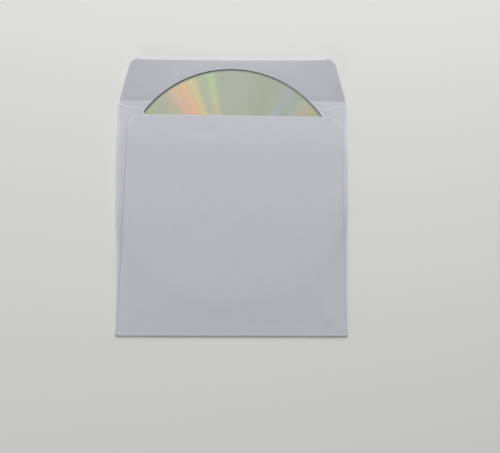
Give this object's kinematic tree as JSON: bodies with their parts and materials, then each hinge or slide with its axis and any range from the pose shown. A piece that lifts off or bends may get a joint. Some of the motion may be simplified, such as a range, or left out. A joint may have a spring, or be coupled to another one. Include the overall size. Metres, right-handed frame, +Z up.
{
  "type": "cd sleeve",
  "caption": "Nearly square paper disc sleeve with an open top flap, folded and glued from one sheet, holding a disc that stands out of its mouth.",
  "frame": {"origin": "centre of the front panel's outer face, which lies on the surface", "axes": "+Z up out of the surface, +Y from the bottom fold towards the open flap, +X to the right seen from above with the flap away"},
  "size_m": [0.125, 0.1504, 0.0028],
  "materials": {
    "paper": "smooth uncoated bright white paper, slightly bluish, matt",
    "disc": "polished clear plastic over a mirror layer, with pale rainbow streaks that run out from the hub"
  },
  "bodies": {
    "root": {"sleeve": "paper", "disc": "disc"}
  },
  "joints": []
}
